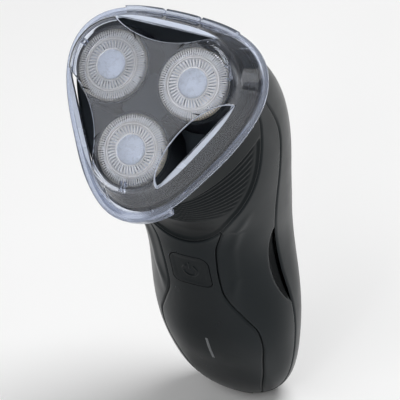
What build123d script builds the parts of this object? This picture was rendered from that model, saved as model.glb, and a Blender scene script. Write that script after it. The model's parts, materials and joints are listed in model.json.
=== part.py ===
from build123d import *
import math
import os

os.makedirs("parts", exist_ok=True)

# ---------------------------------------------------------------------------
# Rotary electric shaver, three heads, clear protective cap.  Millimetres.
# Origin: middle of the small flat at the foot of the handle.  +Z up the
# handle, -Y is the button side, +X is the right of someone facing the button.
# ---------------------------------------------------------------------------

# ---- driving dimensions ----
HEAD_Y, HEAD_Z = -49.5, 145.1      # centre of the shaving plane
HEAD_TILT = 45.0                   # degrees, head normal from vertical towards -Y
GUARD_R = 10.75                    # shaving guard outer radius
GUARD_SPACING = 26.45              # distance between two guard centres
GUARD_LEAN = 2.13                  # degrees, each guard leans outwards
GUARD_FLOAT = 0.8                  # inward travel of a guard
WALL = 2.0                         # handle shell wall
SEAM = 0.12                        # half gap between neighbouring shells
SIDE_N = 2.3                       # exponent of the handle's rounded section
# handle sections: z, half width, front y, rear y, y of the widest point
HANDLE = [
    (0.0, 6.40, -4.50, 4.60, 0.05), (0.7, 7.67, -5.83, 5.11, -0.35),
    (2.1, 9.82, -7.88, 5.73, -1.16), (4.1, 12.19, -10.10, 6.23, -2.24),
    (7.1, 14.86, -12.48, 6.60, -3.65), (11.1, 17.37, -14.85, 6.95, -5.18),
    (16.1, 19.36, -17.20, 7.35, -6.55), (22.1, 20.85, -19.80, 7.85, -7.48),
    (29.1, 21.95, -22.90, 8.35, -8.10), (37.1, 22.80, -25.40, 8.60, -8.70),
    (46.1, 23.10, -27.30, 8.60, -9.10), (55.1, 22.70, -29.25, 8.60, -9.10),
    (65.1, 22.05, -31.40, 8.50, -9.00), (75.1, 22.20, -33.25, 8.00, -9.50),
    (85.1, 23.73, -35.26, 6.20, -11.74)]
# neck sections, on planes that fan out round the line y=FAN_Y, z=FAN_Z:
# angle, distance of the centre, half width, front depth, rear depth
FAN_Y, FAN_Z = -85.5, 85.1
FAN = [
    (7.5, 72.25, 24.96, 25.15, 17.70), (15.0, 71.40, 26.29, 26.88, 19.20),
    (22.5, 71.00, 27.60, 28.52, 21.60), (30.0, 70.70, 28.81, 29.88, 24.37),
    (37.5, 70.10, 29.81, 30.77, 26.79), (45.0, 69.06, 30.50, 31.00, 28.00)]
NECK_TRI = (26.34, 2.98, 0.31)     # rounded triangle of the neck's top edge
NECK_TRI_V = 1.17                  # its centre, up the shaving plane
NECK_TOP = -17.0                   # neck's top edge, below the shaving plane
# cap and hair chamber: rounded triangles r0 + r3 cos 3t + r6 cos 6t
TRI_V = 0.7                        # centre of the cap, up the shaving plane
FLANGE_TRI, FLANGE_H, FLANGE_T = (30.40, 3.45, 0.37), -11.5, 1.3
RIM_TRI, RIM_H = (26.15, 2.97, 0.14), -2.2
PLATE_TRI, PLATE_H = (22.8, 2.75, 0.10), 3.0
CAP_T = 0.9                        # cap wall
CAP_LIFT, HEAD_PULL = 34.0, 30.0
VENT_R, VENT_D = 30.0, 16.4        # vent edge radius, distance from the centre
PILLAR_RAD = 15.2                  # gearbox pillars, from the middle
HOLDER_R = 11.9                    # lobe radius of the head frame at its top
# seam lines: half width of the front inlay against z
PANEL = [(0.4, 5.0), (4.0, 8.6), (10.0, 11.3), (19.0, 14.0), (27.0, 15.7),
         (33.5, 16.9), (38.0, 17.0), (43.0, 16.2), (47.0, 14.4), (51.0, 12.5),
         (55.0, 10.6), (59.0, 9.3), (64.0, 8.9), (69.0, 8.9), (73.0, 9.1),
         (77.0, 9.4), (80.5, 10.0), (83.0, 10.9), (85.5, 11.9), (87.6, 12.9)]
# lower edge of the neck piece: x, z (mirrored about x = 0)
NECK_EDGE = [(0.0, 81.9), (3.0, 82.2), (5.5, 83.0), (9.0, 84.9), (12.5, 88.0),
             (17.5, 94.6), (19.9, 98.0), (21.8, 101.4), (23.4, 105.2),
             (24.8, 110.2), (26.0, 117.6), (26.9, 127.5), (27.5, 140.0)]
# seam of the rear shell: y, z
REAR_SEAM = [(-7.9, -4.0), (-8.0, 8.0), (-8.1, 20.0), (-8.2, 29.0),
             (-9.2, 40.0), (-10.9, 50.0), (-13.2, 61.0), (-15.2, 74.0),
             (-17.6, 84.0), (-18.7, 94.0), (-18.8, 104.0), (-18.9, 112.0),
             (-19.8, 120.0), (-22.4, 127.0), (-25.6, 133.0), (-31.0, 141.0),
             (-40.0, 150.0), (-55.0, 163.0), (-75.0, 180.0)]
BUTTON_W, BUTTON_Z0, BUTTON_Z1 = 13.0, 62.5, 75.1
BUTTON_TRAVEL = 0.8
SLIT_W, SLIT_Z0, SLIT_Z1 = 0.9, 26.2, 36.9
# drive
GEAR_M, PINION_Z, GEAR_Z = 0.5, 21, 40
CELL_R, CELL_L, CELL_X, CELL_Y, CELL_Z0 = 7.0, 48.0, 7.5, -8.2, 21.5
MOTOR_R = 9.5

# ---- frames ----
ct, st = math.cos(math.radians(HEAD_TILT)), math.sin(math.radians(HEAD_TILT))
HEAD = Plane(origin=(0, HEAD_Y, HEAD_Z), x_dir=(1, 0, 0), z_dir=(0, -st, ct))
HL = HEAD.location
GUARD_RAD = GUARD_SPACING / math.sqrt(3)
GUARD_ANG = [150.0, 30.0, 270.0]


def guard_loc(k):
    """Frame of guard k: origin at the shaving plane, z along the guard axis."""
    a = GUARD_ANG[k]
    return HL * Location((0, 0, 0), (0, 0, a)) * Location((GUARD_RAD, 0, 0), (0, GUARD_LEAN, 0))


def drive_loc(k):
    """Frame of drive spindle k: parallel to the head axis."""
    a = math.radians(GUARD_ANG[k])
    return HL * Location((GUARD_RAD * math.cos(a), GUARD_RAD * math.sin(a), 0))


# ---- helpers ----
def tri_pts(tri, inset=0.0, v0=TRI_V, n=30):
    out = []
    for i in range(n):
        t = 2 * math.pi * i / n
        u = t - math.radians(30)
        r = tri[0] + tri[1] * math.cos(3 * u) + tri[2] * math.cos(6 * u) - inset
        out.append((r * math.cos(t), v0 + r * math.sin(t)))
    return out


def closed_face(pts3):
    return make_face(Spline(*[Vector(*p) for p in pts3], periodic=True))


def tri_face(tri, h, inset=0.0, v0=TRI_V):
    return closed_face([(x, y, h) for x, y in tri_pts(tri, inset, v0)])


def tri_loft(stack):
    """Solid through rounded triangles, each (tri, h, inset)."""
    return loft([tri_face(t, h, i) for t, h, i in stack])


def body_sections(inset, z_from, n=28, open_top=False):
    faces = []

    def se(th):
        c, s = math.cos(th), math.sin(th)
        e = 2.0 / SIDE_N
        return math.copysign(abs(c) ** e, c), math.copysign(abs(s) ** e, s)

    ths = [2 * math.pi * (i + 0.5) / n for i in range(n)]
    for z, a, yf, yr, ym in HANDLE:
        if z < z_from:
            continue
        pts = []
        for th in ths:
            cx, sy = se(th)
            b = (ym - yf - inset) if sy < 0 else (yr - ym - inset)
            pts.append(((a - inset) * cx, ym + b * sy, z))
        faces.append(closed_face(pts))
    fan = FAN + [(47.0,) + FAN[-1][1:]] if open_top else FAN
    for tau, rc, a, bf, br in fan:
        w = min(1.0, (tau / 45.0) ** 1.5)
        ta = math.radians(tau)
        pts = []
        for th in ths:
            cx, sy = se(th)
            u = th - math.radians(30)
            r = NECK_TRI[0] + NECK_TRI[1] * math.cos(3 * u) + NECK_TRI[2] * math.cos(6 * u) - inset
            b = (bf if sy < 0 else br) - inset
            x = (1 - w) * (a - inset) * cx + w * r * math.cos(th)
            y = (1 - w) * b * sy + w * r * math.sin(th) + rc
            pts.append((x, FAN_Y + y * math.cos(ta), FAN_Z + y * math.sin(ta)))
        faces.append(closed_face(pts))
    return faces


def prism_xz(pts, y0, y1):
    """Closed XZ outline (list of x, z) pushed from y0 to y1."""
    w = Polyline(*[(x, y0, z) for x, z in pts], close=True)
    return extrude(make_face(w), amount=y1 - y0, dir=(0, 1, 0))


def ring(r_out, r_in, h0, h1):
    return Pos(0, 0, (h0 + h1) / 2) * (Cylinder(r_out, h1 - h0) - Cylinder(r_in, h1 - h0 + 1))


def disc(r, h0, h1, x=0.0, y=0.0):
    return Pos(x, y, (h0 + h1) / 2) * Cylinder(r, h1 - h0)


def block(x0, x1, y0, y1, z0, z1):
    return Pos((x0 + x1) / 2, (y0 + y1) / 2, (z0 + z1) / 2) * Box(x1 - x0, y1 - y0, z1 - z0)


def one(shape):
    """Largest solid of a result."""
    s = shape.solids()
    return max(s, key=lambda q: q.volume)


nodes = {}

# ---- handle shells ----
outer = loft(body_sections(0.0, 0.0))
inner = loft(body_sections(WALL, 2.0, open_top=True))
shell = outer - inner
print("outer", outer.volume, "inner", inner.volume, "shell", shell.volume)

# regions of the front inlay, the neck piece and the rear shell
def panel_prism(g):
    """Front inlay: waisted sides, lower edge of the neck piece on top."""
    side = [(w + g, z) for z, w in PANEL]
    arc = [(x, z + g) for x, z in NECK_EDGE if x < side[-1][0] - 0.3]
    right = Spline(*[(x, -90, z) for x, z in side])
    top = Spline(*([(side[-1][0], -90, side[-1][1])] + [(x, -90, z) for x, z in arc[::-1]]
                   + [(-x, -90, z) for x, z in arc[1:]] + [(-side[-1][0], -90, side[-1][1])]))
    left = Spline(*[(-x, -90, z) for x, z in side[::-1]])
    low = Polyline((-side[0][0], -90, side[0][1]), (-side[0][0], -90, -6), (side[0][0], -90, -6), (side[0][0], -90, side[0][1]))
    return extrude(make_face(Wire(right.edges() + top.edges() + left.edges() + low.edges())), amount=83, dir=(0, 1, 0))


def neck_prism(g):
    half = [(x + g * min(1, x / 4.0), z - g) for x, z in NECK_EDGE]
    curve = Spline(*([(-x, -110, z) for x, z in half[::-1]] + [(x, -110, z) for x, z in half[1:]]))
    x1, z1_ = half[-1]
    close = Polyline((x1, -110, z1_), (60, -110, z1_), (60, -110, 190), (-60, -110, 190), (-60, -110, z1_), (-x1, -110, z1_))
    return extrude(make_face(Wire(curve.edges() + close.edges())), amount=88, dir=(0, 1, 0))


def rear_prism(g):
    pts = [(-60, y - g, z) for y, z in REAR_SEAM]
    close = Polyline(pts[-1], (-60, 60, pts[-1][2]), (-60, 60, pts[0][2]), pts[0])
    return extrude(make_face(Wire(Spline(*pts).edges() + close.edges())), amount=120, dir=(1, 0, 0))


rear = shell & rear_prism(-SEAM)
front_rest = shell - rear_prism(SEAM)
neck_piece = front_rest & neck_prism(-SEAM)
panel = front_rest & panel_prism(-SEAM)
sides = front_rest - neck_prism(SEAM) - panel_prism(SEAM)
side_solids = sorted([s for s in sides.solids() if s.volume > 50], key=lambda s: s.center().X)
for s_ in side_solids:
    print("side", round(s_.volume), s_.bounding_box())
left_shell, right_shell = side_solids[0], side_solids[-1]

# button opening and button
b_out = Pos(0, 0, (BUTTON_Z0 + BUTTON_Z1) / 2) * Rot(90, 0, 0) * extrude(
    RectangleRounded(BUTTON_W + 0.5, BUTTON_Z1 - BUTTON_Z0 + 0.5, 2.4), amount=80)
b_in = Pos(0, 0, (BUTTON_Z0 + BUTTON_Z1) / 2) * Rot(90, 0, 0) * extrude(
    RectangleRounded(BUTTON_W - 0.1, BUTTON_Z1 - BUTTON_Z0 - 0.1, 2.1), amount=80)
button = one((panel & b_in))
button_mid = (BUTTON_Z0 + BUTTON_Z1) / 2
button = button + Pos(0, -27.6, button_mid) * Rot(90, 0, 0) * Cylinder(2.0, 6.4)
slit = block(-SLIT_W / 2, SLIT_W / 2, -60, -5, SLIT_Z0, SLIT_Z1)
lens = one(panel & slit)
slit_cut = block(-SLIT_W / 2 - 0.03, SLIT_W / 2 + 0.03, -60, -5, SLIT_Z0 - 0.03, SLIT_Z1 + 0.03)
panel = one(panel - b_out - slit_cut)

# charging inlet at the foot
inlet_cut = block(-4.3, 4.3, -3.1, 3.1, -1, 4)
rear = one(rear - inlet_cut)
socket = block(-4.2, 4.2, -3.0, 3.0, 0.5, 9.0) - block(-3.4, 3.4, -2.2, 2.2, 0, 7.6)
pins = [disc(0.6, 2.0, 10.2, x=sx) for sx in (-1.8, 1.8)]
for p in pins:
    socket = socket - p

nodes["front_panel"] = panel
nodes["left_side_shell"] = one(left_shell)
nodes["right_side_shell"] = one(right_shell)
nodes["rear_shell"] = rear
nodes["indicator_lens"] = lens
nodes["power_button"] = button
nodes["charge_socket"] = socket
nodes["charge_pins"] = Compound(pins)

# neck piece with its fine ribs, cut as shallow steps across the front
nodes["neck_housing"] = one(neck_piece)

# ---- gearbox in the neck (head frame) ----
deck = tri_face(NECK_TRI, -18.9, WALL + 0.35, NECK_TRI_V)
deck = extrude(deck, amount=1.6)
for k in range(3):
    a = math.radians(GUARD_ANG[k])
    x, y = GUARD_RAD * math.cos(a), GUARD_RAD * math.sin(a)
    deck = deck + disc(3.1, -18.0, -14.2, x, y)
    deck = deck - disc(2.06, -20, -10, x, y)
deck = deck - disc(1.6, -20, -10)
nodes["gearbox_deck"] = HL * deck

base = extrude(tri_face(NECK_TRI, -24.4, WALL + 4.0, NECK_TRI_V), amount=1.5)
for k in range(3):
    a = math.radians(GUARD_ANG[k])
    base = base - disc(1.06, -30, -10, GUARD_RAD * math.cos(a), GUARD_RAD * math.sin(a))
base = base - disc(3.05, -30, -10)
# three pillars between the gears tie the two plates together
pillar = []
for t in (90, 210, 330):
    c, s = math.cos(math.radians(t)), math.sin(math.radians(t))
    pillar.append(disc(1.5, -22.9, -18.9, PILLAR_RAD * c, PILLAR_RAD * s))
base = base + pillar[0] + pillar[1] + pillar[2]
scr = []
for t in (90, 210, 330):
    c, s = math.cos(math.radians(t)), math.sin(math.radians(t))
    x, y = PILLAR_RAD * c, PILLAR_RAD * s
    base = base - disc(0.85, -30, -10, x, y)
    nodes["gearbox_deck"] = nodes["gearbox_deck"] - HL * disc(0.9, -20, -10, x, y)
    scr.append(HL * (disc(0.8, -23.0, -17.3, x, y) + disc(1.5, -17.3, -16.95, x, y)))
nodes["gearbox_base"] = HL * base


def gear(z, m, r_bore, h0, h1, phase):
    """Spur gear with straight-sided teeth and running backlash."""
    rp = m * z / 2
    ra, rf = rp + 0.72 * m, rp - 0.95 * m
    pts = []
    for i in range(z):
        a0 = phase + 360.0 * i / z
        pitch = 360.0 / z
        for frac, r in ((-0.30, rf), (-0.115, ra), (0.115, ra), (0.30, rf)):
            a = math.radians(a0 + frac * pitch)
            pts.append((r * math.cos(a), r * math.sin(a)))
    f = make_face(Polyline(*pts, close=True))
    g = Pos(0, 0, h0) * extrude(f, amount=h1 - h0)
    return g - disc(r_bore, h0 - 1, h1 + 1)


nodes["motor_pinion"] = HL * gear(PINION_Z, GEAR_M, 1.05, -22.2, -19.6, 0.0)
nodes["motor_shaft"] = HL * disc(1.0, -25.6, -19.4)
for k in range(3):
    phi = GUARD_ANG[k]
    # pinion tooth nearest to the line of centres sets the gap of the gear
    pit = 360.0 / PINION_Z
    d = (-phi) % pit
    d = d if d <= pit / 2 else d - pit
    ph = phi + 180.0 - d * PINION_Z / GEAR_Z + 180.0 / GEAR_Z
    g = gear(GEAR_Z, GEAR_M, 2.05, -22.0, -19.8, ph)
    for t in range(5):
        a = math.radians(ph + 72 * t)
        g = g - disc(1.9, -24, -18, 6.6 * math.cos(a), 6.6 * math.sin(a))
    nodes["drive_gear_%d" % (k + 1)] = drive_loc(k) * g
    sp = disc(2.0, -22.4, -4.6) + disc(1.0, -24.2, -22.4)
    nodes["drive_spindle_%d" % (k + 1)] = drive_loc(k) * sp

# ---- motor ----
mot = disc(MOTOR_R, -46.0, -24.8) - disc(1.08, -50, -20) - disc(MOTOR_R - 0.8, -45.2, -25.6)
nodes["motor_can"] = HL * mot
nodes["motor_bush"] = HL * ring(3.0, 1.05, -24.8, -23.6)
nodes["motor_end_cap"] = HL * (disc(MOTOR_R - 0.3, -48.4, -46.0) + disc(2.6, -49.6, -48.4))
tabs = [block(sx - 1.1, sx + 1.1, -0.25, 0.25, -52.2, -48.4) for sx in (-5.5, 5.5)]
nodes["motor_tabs"] = Compound([HL * t for t in tabs])
nodes["gearbox_screws"] = Compound(scr)

# ---- battery, board, switch ----
cells = []
for sx in (-CELL_X, CELL_X):
    c = disc(CELL_R, CELL_Z0, CELL_Z0 + CELL_L, sx, CELL_Y) + disc(2.6, CELL_Z0 + CELL_L, CELL_Z0 + CELL_L + 1.2, sx, CELL_Y)
    cells.append(c)
nodes["battery_cells"] = Compound(cells)
z0, z1 = CELL_Z0, CELL_Z0 + CELL_L
nodes["cell_links"] = Compound([
    block(-12.5, 12.5, CELL_Y - 2.5, CELL_Y + 2.5, z0 - 0.5, z0 - 0.05),
    block(4.8, 10.2, CELL_Y - 2.5, CELL_Y + 2.5, z1 + 1.2, z1 + 1.65),
    block(-10.2, -4.8, CELL_Y - 2.5, CELL_Y + 2.5, z1 + 1.2, z1 + 1.65)])
cradle = block(-15.0, 15.0, -6.0, 1.4, z0 + 3, z1 - 3) + block(-14.2, 14.2, -12.0, 1.0, z1 + 2.2, z1 + 4.0)
cradle = cradle + block(-2.0, 2.0, 0.2, 1.4, z1 - 4, z1 + 3)
for sx in (-CELL_X, CELL_X):
    cradle = cradle - disc(CELL_R + 0.15, z0 - 1, z1 + 1.9, sx, CELL_Y)
nodes["battery_cradle"] = one(cradle)
board = block(-8.6, 8.6, -20.6, -19.2, 38.5, 80.0)
nodes["circuit_board"] = board
sw = block(-3.1, 3.1, -23.0, -20.6, button_mid - 3.1, button_mid + 3.1)
nodes["tact_switch"] = sw + Pos(0, -23.1, button_mid) * Rot(90, 0, 0) * Cylinder(1.6, 0.5)
nodes["indicator_led"] = block(-0.9, 0.9, -21.4, -20.6, 39.2, 40.8)
nodes["charge_controller"] = Compound([
    block(-5.0, 1.0, -22.2, -20.6, 50.0, 55.0),
    block(2.4, 6.4, -22.6, -20.6, 46.0, 50.0),
    block(-7.4, -5.8, -21.5, -20.6, 44.0, 47.2)])
seal_f = Pos(0, -27.0, button_mid) * Rot(90, 0, 0) * extrude(
    RectangleRounded(17.0, 16.0, 3.0) - Circle(2.35), amount=0.7)
nodes["button_seal"] = seal_f
# light guide from the diode down to the slit
guide = block(-0.8, 0.8, -21.2, -19.4, 33.5, 38.2) + block(-0.8, 0.8, -22.6, -21.2, 34.8, 36.4)
nodes["light_guide"] = guide
# case screws: two up from the lower end, two through the neck deck
cs = []
for x, y, za, zb in ((-8.6, -10.2, 12.0, 19.6), (8.6, -10.2, 12.0, 19.6)):
    cs.append(disc(0.95, za + 1.2, zb, x, y) + disc(1.9, za, za + 1.2, x, y))
nodes["case_screws"] = Compound(cs)
boss = []
for x, y in ((-8.6, -10.2), (8.6, -10.2)):
    boss.append(disc(2.6, 13.2, 19.0, x, y) - disc(1.0, 10, 25, x, y))
lower = block(-13.0, 13.0, -12.8, -1.0, 17.4, 19.0)
for x, y in ((-8.6, -10.2), (8.6, -10.2)):
    lower = lower - disc(2.6, 10, 25, x, y)
lower = lower + boss[0] + boss[1]
nodes["lower_chassis"] = one(lower)
# leads from the board to the motor
leads = []
for sx in (-5.5, 5.5):
    p0 = HL * Vector(sx, 0, -51.6) if False else (HEAD.from_local_coords(Vector(sx, -0.95, -51.5)))
    path = FilletPolyline((p0.X, p0.Y, p0.Z), (sx * 0.9, p0.Y - 1.2, 94.0), (sx * 0.8, -17.8, 84.0), (sx * 0.8, -17.8, 77.0), radius=3.0)
    prof = Plane(origin=path @ 0, z_dir=path % 0) * Circle(0.6)
    leads.append(sweep(prof, path=path))
nodes["motor_leads"] = Compound([one(l) for l in leads])

# ---- shaving head (head frame) ----
hc_top = (FLANGE_TRI, -11.85, 2.15)
chamber = tri_loft([(FLANGE_TRI, -16.6, 4.9), (FLANGE_TRI, -14.4, 3.0), (FLANGE_TRI, -11.85, 2.15)])
ch_in = tri_loft([(FLANGE_TRI, -15.4, 6.6), (FLANGE_TRI, -14.2, 4.6), (FLANGE_TRI, -11.8, 3.55)])
ch_in = ch_in + extrude(tri_face(FLANGE_TRI, -11.9, 3.55), amount=2)
chamber = chamber - ch_in
for k in range(3):
    a = math.radians(GUARD_ANG[k])
    x, y = GUARD_RAD * math.cos(a), GUARD_RAD * math.sin(a)
    chamber = chamber - disc(3.5, -20, -10, x, y)
nodes["hair_chamber"] = HL * one(chamber)

# head frame: base plate plus a three-lobed turret with three round openings
frame = extrude(tri_face(FLANGE_TRI, -11.8, 3.75), amount=1.5)
for k in range(3):
    a = math.radians(GUARD_ANG[k])
    x, y = GUARD_RAD * math.cos(a), GUARD_RAD * math.sin(a)
    frame = frame + Pos(x, y, -6.05) * Cone(HOLDER_R + 1.2, HOLDER_R, 8.7)
    frame = frame + Pos(x, y, -1.35) * Cone(HOLDER_R, HOLDER_R - 0.4, 0.7)
core = extrude(make_face(Polyline(*[(GUARD_RAD * 0.98 * math.cos(math.radians(t)), GUARD_RAD * 0.98 * math.sin(math.radians(t))) for t in (30, 150, 270)], close=True)), amount=9.0)
frame = frame + Pos(0, 0, -10.4) * core
# hollow underneath
hollow = extrude(tri_face(FLANGE_TRI, -12.5, 5.6), amount=2.2 - 0.0)
under = None
for k in range(3):
    a = math.radians(GUARD_ANG[k])
    x, y = GUARD_RAD * math.cos(a), GUARD_RAD * math.sin(a)
    c = Pos(x, y, -7.825) * Cone(HOLDER_R - 0.15, HOLDER_R - 0.35, 10.35)
    under = c if under is None else under + c
under = under + Pos(0, 0, -13.0) * extrude(make_face(Polyline(*[(11.0 * math.cos(math.radians(t)), 11.0 * math.sin(math.radians(t))) for t in (30, 150, 270)], close=True)), amount=10.1)
frame = frame - under
for k in range(3):
    g = guard_loc(k)
    frame = frame - (HL.inverse() * g) * disc(GUARD_R + 0.28, -6, 3)
for t in (90, 210, 330):
    c, s = math.cos(math.radians(t)), math.sin(math.radians(t))
    frame = frame + disc(1.1, -6.9, -2.6, 7.3 * c, 7.3 * s)
nodes["head_frame"] = HL * one(frame)

# cutter retaining frame and its turn knob
rf = None
for k in range(3):
    a = math.radians(GUARD_ANG[k])
    x, y = GUARD_RAD * math.cos(a), GUARD_RAD * math.sin(a)
    r_ = ring(10.9, 9.4, -8.0, -6.95)
    r_ = r_ + block(-10.0, 10.0, -0.9, 0.9, -8.0, -6.95) + block(-0.9, 0.9, -10.0, 10.0, -8.0, -6.95)
    r_ = r_ + disc(4.2, -8.0, -6.95) - disc(2.9, -9, -6)
    r_ = Pos(x, y, 0) * Rot(0, 0, GUARD_ANG[k] + 45) * r_
    rf = r_ if rf is None else rf + r_
rf = rf + disc(5.2, -8.0, -6.95)
for k in range(3):
    a = math.radians(GUARD_ANG[k])
    rf = rf - disc(2.9, -9, -6, GUARD_RAD * math.cos(a), GUARD_RAD * math.sin(a))
rf = rf - disc(1.27, -9, -6)
nodes["retaining_frame"] = HL * one(rf)
knob = disc(4.2, -10.0, -8.3) + disc(1.2, -9.0, -6.0) + disc(2.0, -6.65, -6.0) + block(-3.8, 3.8, -0.8, 0.8, -11.3, -9.9)
nodes["lock_knob"] = HL * knob
sprs = []
for k in range(3):
    a = math.radians(GUARD_ANG[k])
    x, y = GUARD_RAD * math.cos(a), GUARD_RAD * math.sin(a)
    co = Pos(x, y, -6.0) * (Cone(10.6, 9.6, 1.7) - Cone(10.25, 9.25, 1.72))
    sprs.append(HL * one(co))
nodes["float_springs"] = Compound(sprs)

for k in range(3):
    L = guard_loc(k)
    # guard: slotted cup with a groove between its two tracks, hub hole
    g = disc(GUARD_R, -3.6, 0.0) + disc(GUARD_R + 0.45, -3.9, -3.4)
    g = g - ring(GUARD_R - 0.65, 8.05, -5, -0.65) - ring(7.35, 3.2, -5, -0.65)
    g = g - disc(8.1, -5, -1.2)
    g = g + ring(7.95, 7.5, -1.2, -0.5)
    g = g - disc(2.3, -5, 1) - ring(7.9, 7.55, -0.3, 1.0)
    g = chamfer(g.edges().filter_by(GeomType.CIRCLE).filter_by(lambda e: abs(e.radius - GUARD_R) < 0.01 and e.center().Z > -0.1), 0.35)
    nodes["shaving_guard_%d" % (k + 1)] = L * one(g)
    # hub cap: shallow dome with a stem that plugs into the guard
    dome = Pos(0, 0, -12.2 + 0.05) * Sphere(13.2)
    dome = dome & disc(4.4, 0.02, 3)
    cap_h = dome + disc(2.25, -0.9, 0.1)
    nodes["guard_cap_%d" % (k + 1)] = L * one(cap_h)
    # cutter: hub, web, ring of blades
    cu = disc(3.2, -5.8, -2.6) + ring(9.7, 8.0, -3.4, -2.5) + ring(8.1, 3.0, -3.2, -2.7)
    for t in range(9):
        b1 = Rot(0, 0, 40 * t) * (block(8.4, 9.5, -0.35, 0.35, -2.6, -0.85))
        b2 = Rot(0, 0, 40 * t + 20) * (block(4.2, 6.6, -0.35, 0.35, -2.8, -1.2))
        cu = cu + b1 + b2
    cu = cu - disc(2.4, -8, -3.3)
    nodes["cutter_%d" % (k + 1)] = L * one(cu)

# ---- protective cap ----
cap_o = tri_loft([(FLANGE_TRI, FLANGE_H, 1.1), (RIM_TRI, RIM_H, 0.0), (RIM_TRI, RIM_H + 2.6, 0.8), (PLATE_TRI, PLATE_H, 0.0)])
cap_i = tri_loft([(FLANGE_TRI, FLANGE_H - 0.1, 1.1 + CAP_T), (RIM_TRI, RIM_H, CAP_T), (RIM_TRI, RIM_H + 2.2, 0.8 + CAP_T), (PLATE_TRI, PLATE_H - CAP_T, 0.3)])
flange = extrude(tri_face(FLANGE_TRI, FLANGE_H, 0.0), amount=FLANGE_T) - extrude(tri_face(FLANGE_TRI, FLANGE_H - 1, 1.1 + CAP_T), amount=FLANGE_T + 2)
cap = cap_o - cap_i + (flange - cap_i)
# vents: outside the hollow edge of the plate and above the rim
for t in (90, 210, 330):
    cut = disc(VENT_R, RIM_H + 0.6, 12.0, VENT_D + VENT_R, 0)
    cap = cap - Pos(0, TRI_V, 0) * Rot(0, 0, t) * cut
# skirt below the flange at the lower corner
skirt_o = tri_loft([(FLANGE_TRI, -15.0, 0.25), (FLANGE_TRI, FLANGE_H + 0.3, 0.0)])
skirt_i = tri_loft([(FLANGE_TRI, -15.1, 1.45), (FLANGE_TRI, FLANGE_H + 0.4, 1.2)])
skirt = (skirt_o - skirt_i) & block(-12.0, 12.0, -60, -18, -15.5, FLANGE_H + 0.2)
cap = cap + skirt
# grip ridge on the flange opposite the skirt, in three lengths
rid = extrude(tri_face(FLANGE_TRI, FLANGE_H + 0.2, -0.9), amount=1.9) - extrude(tri_face(FLANGE_TRI, FLANGE_H, 0.3), amount=3)
for x0, x1 in ((-18.4, -6.3), (-5.4, 5.4), (6.3, 18.4)):
    cap = cap + (rid & block(x0, x1, 10, 60, -15, 5))
nodes["protective_cap"] = HL * one(cap)

for name, shp in nodes.items():
    export_step(shp, "parts/%s.step" % name)
print(len(nodes), "nodes")
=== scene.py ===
import bpy, bmesh, json, math
import numpy as np
from mathutils import Vector, Matrix

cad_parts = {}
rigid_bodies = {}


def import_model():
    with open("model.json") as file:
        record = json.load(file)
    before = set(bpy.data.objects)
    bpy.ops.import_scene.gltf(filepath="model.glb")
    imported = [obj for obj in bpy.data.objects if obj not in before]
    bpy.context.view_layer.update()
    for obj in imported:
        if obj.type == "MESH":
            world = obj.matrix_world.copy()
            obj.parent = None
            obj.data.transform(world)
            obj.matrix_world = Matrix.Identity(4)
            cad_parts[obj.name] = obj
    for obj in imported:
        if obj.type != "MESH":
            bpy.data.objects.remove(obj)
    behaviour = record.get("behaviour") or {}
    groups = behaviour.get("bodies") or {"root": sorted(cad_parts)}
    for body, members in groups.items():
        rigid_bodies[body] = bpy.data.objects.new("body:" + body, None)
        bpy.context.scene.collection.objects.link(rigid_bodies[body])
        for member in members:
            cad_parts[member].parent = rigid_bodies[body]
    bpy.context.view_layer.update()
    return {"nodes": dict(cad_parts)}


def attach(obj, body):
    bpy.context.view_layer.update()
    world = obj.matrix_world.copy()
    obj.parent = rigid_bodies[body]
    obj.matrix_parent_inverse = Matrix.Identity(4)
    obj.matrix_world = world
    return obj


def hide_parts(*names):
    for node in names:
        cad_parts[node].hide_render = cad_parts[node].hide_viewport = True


bpy.ops.wm.read_factory_settings(use_empty=True)
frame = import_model()
nodes = frame["nodes"]
MM = 0.001
rng = np.random.default_rng(7)

# ------------------------------------------------------------------ frames
HO = np.array([0.0, -49.5, 145.1])           # centre of the shaving plane, mm
C45 = math.sqrt(0.5)
HU, HV, HN = np.array([1.0, 0, 0]), np.array([0, C45, C45]), np.array([0, -C45, C45])
GRAD = 26.45 / math.sqrt(3)
GANG = [150.0, 30.0, 270.0]
LEAN = math.radians(2.13)


def head(P):
    """Head-frame points (u, v, h) in mm to the row frame in mm."""
    P = np.asarray(P, float)
    return HO + P[..., :1] * HU + P[..., 1:2] * HV + P[..., 2:3] * HN


def guard_axes(k):
    a = math.radians(GANG[k])
    er = np.array([math.cos(a), math.sin(a), 0]); et = np.array([-math.sin(a), math.cos(a), 0]); ez = np.array([0, 0, 1.0])
    X = er * math.cos(LEAN) - ez * math.sin(LEAN)
    Z = er * math.sin(LEAN) + ez * math.cos(LEAN)
    return er * GRAD, X, et, Z


def guard_pt(k, P):
    """Guard-frame points to the row frame, mm."""
    o, X, Y, Z = guard_axes(k)
    P = np.asarray(P, float)
    return head(o + P[..., :1] * X + P[..., 1:2] * Y + P[..., 2:3] * Z)


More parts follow.
